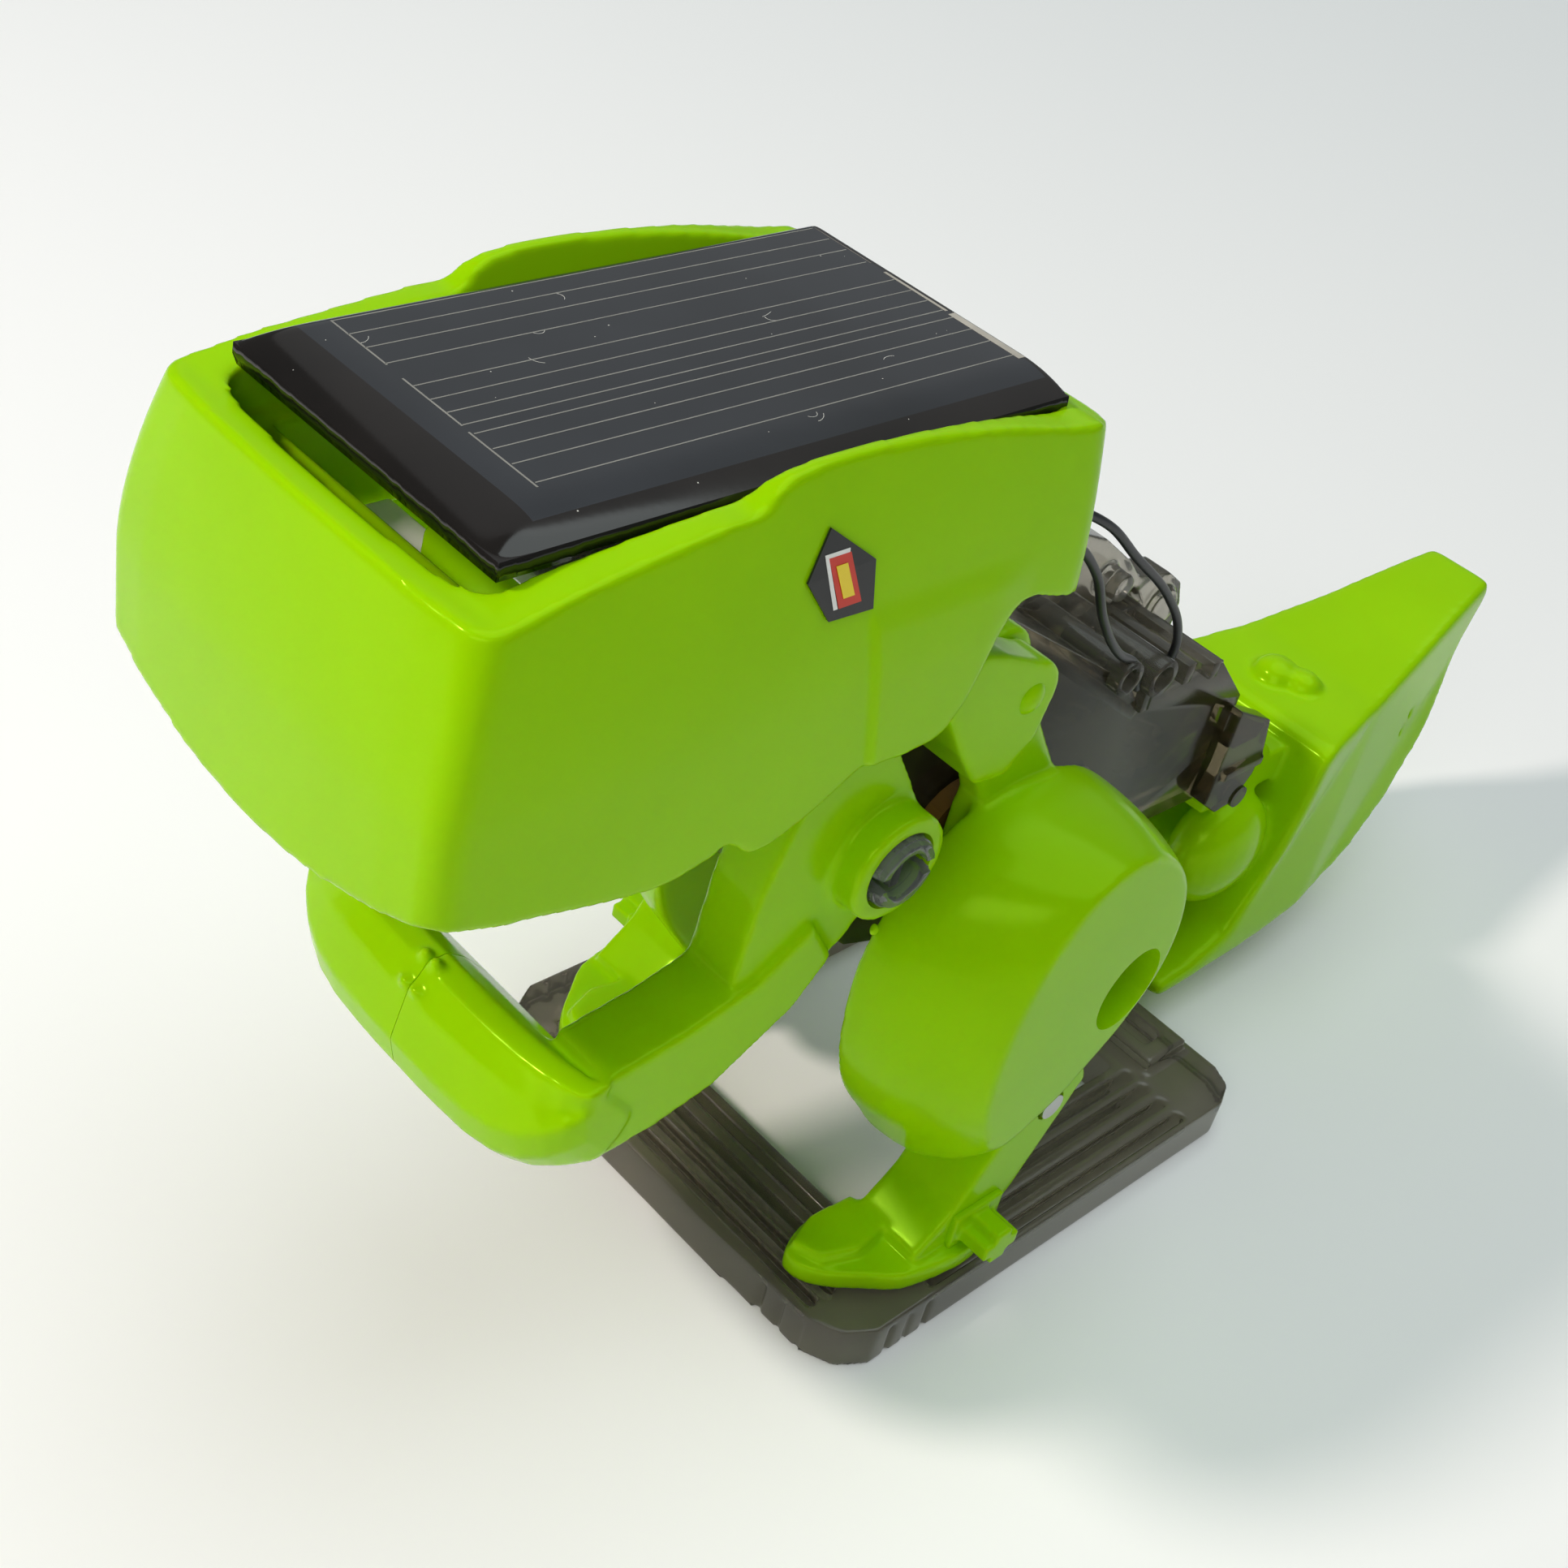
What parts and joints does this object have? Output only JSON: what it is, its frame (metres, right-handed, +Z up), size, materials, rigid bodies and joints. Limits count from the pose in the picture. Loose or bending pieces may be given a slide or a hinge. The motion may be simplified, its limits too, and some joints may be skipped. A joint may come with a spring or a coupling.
{
  "type": "solar robot kit",
  "caption": "Snap-together dinosaur walker: solar panel in an open head, geared motor body, hinged jaw, tail and legs on a frame base",
  "frame": {"origin": "on the floor under the middle of the bounding box", "axes": "+X to the dinosaur's left, the snout points to -Y, +Z up"},
  "size_m": [0.0592, 0.1848, 0.1026],
  "materials": {
    "green": "glossy lime-green moulded plastic",
    "smoke": "glossy smoke-tinted clear plastic",
    "amber": "brown plastic",
    "panel": "dark solar cell under clear epoxy with a domed edge",
    "steel": "plain zinc-plated steel",
    "white": "satin off-white moulded plastic",
    "black": "black vinyl"
  },
  "bodies": {
    "base": {"base_frame": "smoke", "foot_left": "green", "foot_right": "green"},
    "legs": {"thigh_left": "green", "thigh_right": "green", "knee_pin_left": "steel", "knee_pin_right": "steel"},
    "torso": {"hip_bracket": "green", "hip_pin_left": "green", "hip_pin_right": "green", "gearbox_left": "smoke", "gearbox_right": "smoke", "gearbox_screw_1": "steel", "gearbox_screw_2": "steel", "motor_can": "steel", "motor_front_boss": "amber", "gear_axle_1": "steel", "gear_axle_2": "steel", "jaw_pin_left": "smoke", "jaw_pin_right": "smoke", "head_shell": "green", "solar_panel": "panel", "panel_bracket": "white", "panel_pad": "white", "bracket_screw": "steel", "eye_left": "black", "eye_right": "black", "wire_a": "black", "wire_b": "black", "tail_pin": "steel", "tail_cheek_left": "smoke", "tail_cheek_right": "smoke"},
    "jaw": {"jaw_left": "green", "jaw_right": "green"},
    "tail": {"tail_shell": "green"},
    "output": {"output_gear": "white", "output_shaft": "steel", "crank_left": "amber", "crank_right": "amber"},
    "gear_1": {"stepped_gear_1": "white"},
    "gear_2": {"stepped_gear_2": "white"},
    "rotor": {"motor_pinion": "white"}
  },
  "joints": [
    {"name": "knee", "type": "hinge", "parent": "base", "child": "legs", "pos_m": [0, -0.0135, 0.022], "axis": [1, 0, 0], "range_deg": [-2, 8]},
    {"name": "hip", "type": "hinge", "parent": "legs", "child": "torso", "pos_m": [0, -0.028, 0.0726], "axis": [1, 0, 0], "range_deg": [0, 10]},
    {"name": "jaw_swing", "type": "hinge", "parent": "torso", "child": "jaw", "pos_m": [0, -0.043, 0.0616], "axis": [1, 0, 0], "range_deg": [-25, 15]},
    {"name": "tail_swing", "type": "hinge", "parent": "torso", "child": "tail", "pos_m": [0, 0.032, 0.033], "axis": [1, 0, 0], "range_deg": [0, 25]},
    {"name": "output_turn", "type": "hinge", "parent": "torso", "child": "output", "pos_m": [0, -0.02077, 0.04928], "axis": [1, 0, 0], "continuous": true},
    {"name": "gear_2_turn", "type": "hinge", "parent": "torso", "child": "gear_2", "pos_m": [0, -0.00968, 0.04772], "axis": [1, 0, 0], "continuous": true},
    {"name": "gear_1_turn", "type": "hinge", "parent": "torso", "child": "gear_1", "pos_m": [0, 0.00141, 0.04616], "axis": [1, 0, 0], "continuous": true},
    {"name": "rotor_turn", "type": "hinge", "parent": "torso", "child": "rotor", "pos_m": [0, 0.0125, 0.0446], "axis": [1, 0, 0], "continuous": true}
  ],
  "couplings": [
    {"joint": "gear_2_turn", "follows": "output_turn", "ratio": -3},
    {"joint": "gear_1_turn", "follows": "output_turn", "ratio": 9},
    {"joint": "rotor_turn", "follows": "output_turn", "ratio": -27}
  ]
}
